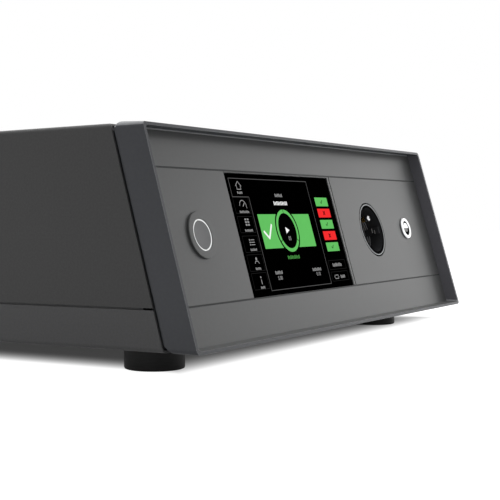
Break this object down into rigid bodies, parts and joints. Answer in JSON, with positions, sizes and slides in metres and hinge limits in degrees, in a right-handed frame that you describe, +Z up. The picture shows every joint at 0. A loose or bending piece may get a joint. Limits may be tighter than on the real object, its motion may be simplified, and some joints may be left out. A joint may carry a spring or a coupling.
{
  "type": "hipot tester",
  "caption": "Bench high-voltage safety tester with a leaning front, touch display, push button, household test socket and probe socket, on rubber feet.",
  "frame": {"origin": "centre of the footprint, on the surface that the feet stand on", "axes": "+X towards the sockets' end of the front, -Y out of the front, +Z up"},
  "size_m": [0.448, 0.39, 0.1548],
  "materials": {
    "cover_paint": "fine matt textured powder coat",
    "frame_paint": "satin paint",
    "panel_paint": "satin paint",
    "glass_black": "glossy black",
    "light_white": "white light guide",
    "plastic_black": "matt moulded",
    "plastic_white": "moulded insulator",
    "rubber_black": "matt",
    "chrome": "polished",
    "steel": "plain",
    "brass": "bare",
    "copper": "enamelled winding",
    "board_green": "solder mask",
    "aluminium": "bare",
    "core_steel": "varnished laminations"
  },
  "bodies": {
    "housing": {"base_tray": "cover_paint", "button_bezel": "panel_paint", "button_nut": "steel", "contact_line": "brass", "contact_neutral": "brass", "display_board": "board_green", "display_trim": "panel_paint", "earth_nut": "brass", "earth_pin": "chrome", "earth_stud": "brass", "fan_frame": "plastic_black", "fan_guard": "chrome", "foot_front_left": "rubber_black", "foot_front_right": "rubber_black", "foot_rear_left": "rubber_black", "foot_rear_right": "rubber_black", "foot_screw_front_left": "steel", "foot_screw_front_right": "steel", "foot_screw_rear_left": "steel", "foot_screw_rear_right": "steel", "front_frame": "frame_paint", "heat_sink": "aluminium", "high_voltage_module": "plastic_black", "inlet_body": "plastic_black", "io_connector": "steel", "lan_port": "steel", "lcd_module": "steel", "left_panel": "panel_paint", "main_board": "board_green", "panel_screw_left_high": "steel", "panel_screw_left_low": "steel", "panel_screw_right_high": "steel", "panel_screw_right_low": "steel", "power_supply": "aluminium", "probe_pin_left": "chrome", "probe_pin_right": "chrome", "probe_socket_insert": "plastic_white", "probe_socket_nut": "steel", "probe_socket_shell": "chrome", "rear_panel": "cover_paint", "right_panel": "panel_paint", "side_rail_left": "aluminium", "side_rail_right": "aluminium", "switch_block": "plastic_black", "switch_frame": "plastic_black", "test_socket_body": "plastic_black", "test_socket_ring": "chrome", "top_cover": "cover_paint", "touch_glass": "glass_black", "transformer_coil": "copper", "transformer_core": "core_steel", "usb_port": "steel"},
    "button": {"button_cap": "panel_paint", "light_ring": "light_white"},
    "rocker": {"mains_rocker": "plastic_black"},
    "drawer": {"fuse_drawer": "plastic_black"},
    "fan": {"fan_rotor": "plastic_black"}
  },
  "joints": [
    {"name": "button_press", "type": "slide", "parent": "housing", "child": "button", "axis": [0, 0.9659, -0.2588], "range_m": [0, 0.002], "stiffness_N_per_m": 500, "springref_m": -0.002},
    {"name": "rocker_tilt", "type": "hinge", "parent": "housing", "child": "rocker", "pos_m": [-0.17024, 0.183, 0.1084], "axis": [-1, 0, 0], "range_deg": [0, 18]},
    {"name": "drawer_slide", "type": "slide", "parent": "housing", "child": "drawer", "axis": [0, 1, 0], "range_m": [0, 0.017]},
    {"name": "fan_spin", "type": "hinge", "parent": "housing", "child": "fan", "pos_m": [0.12006, 0.1705, 0.0864], "axis": [0, 1, 0], "continuous": true}
  ]
}
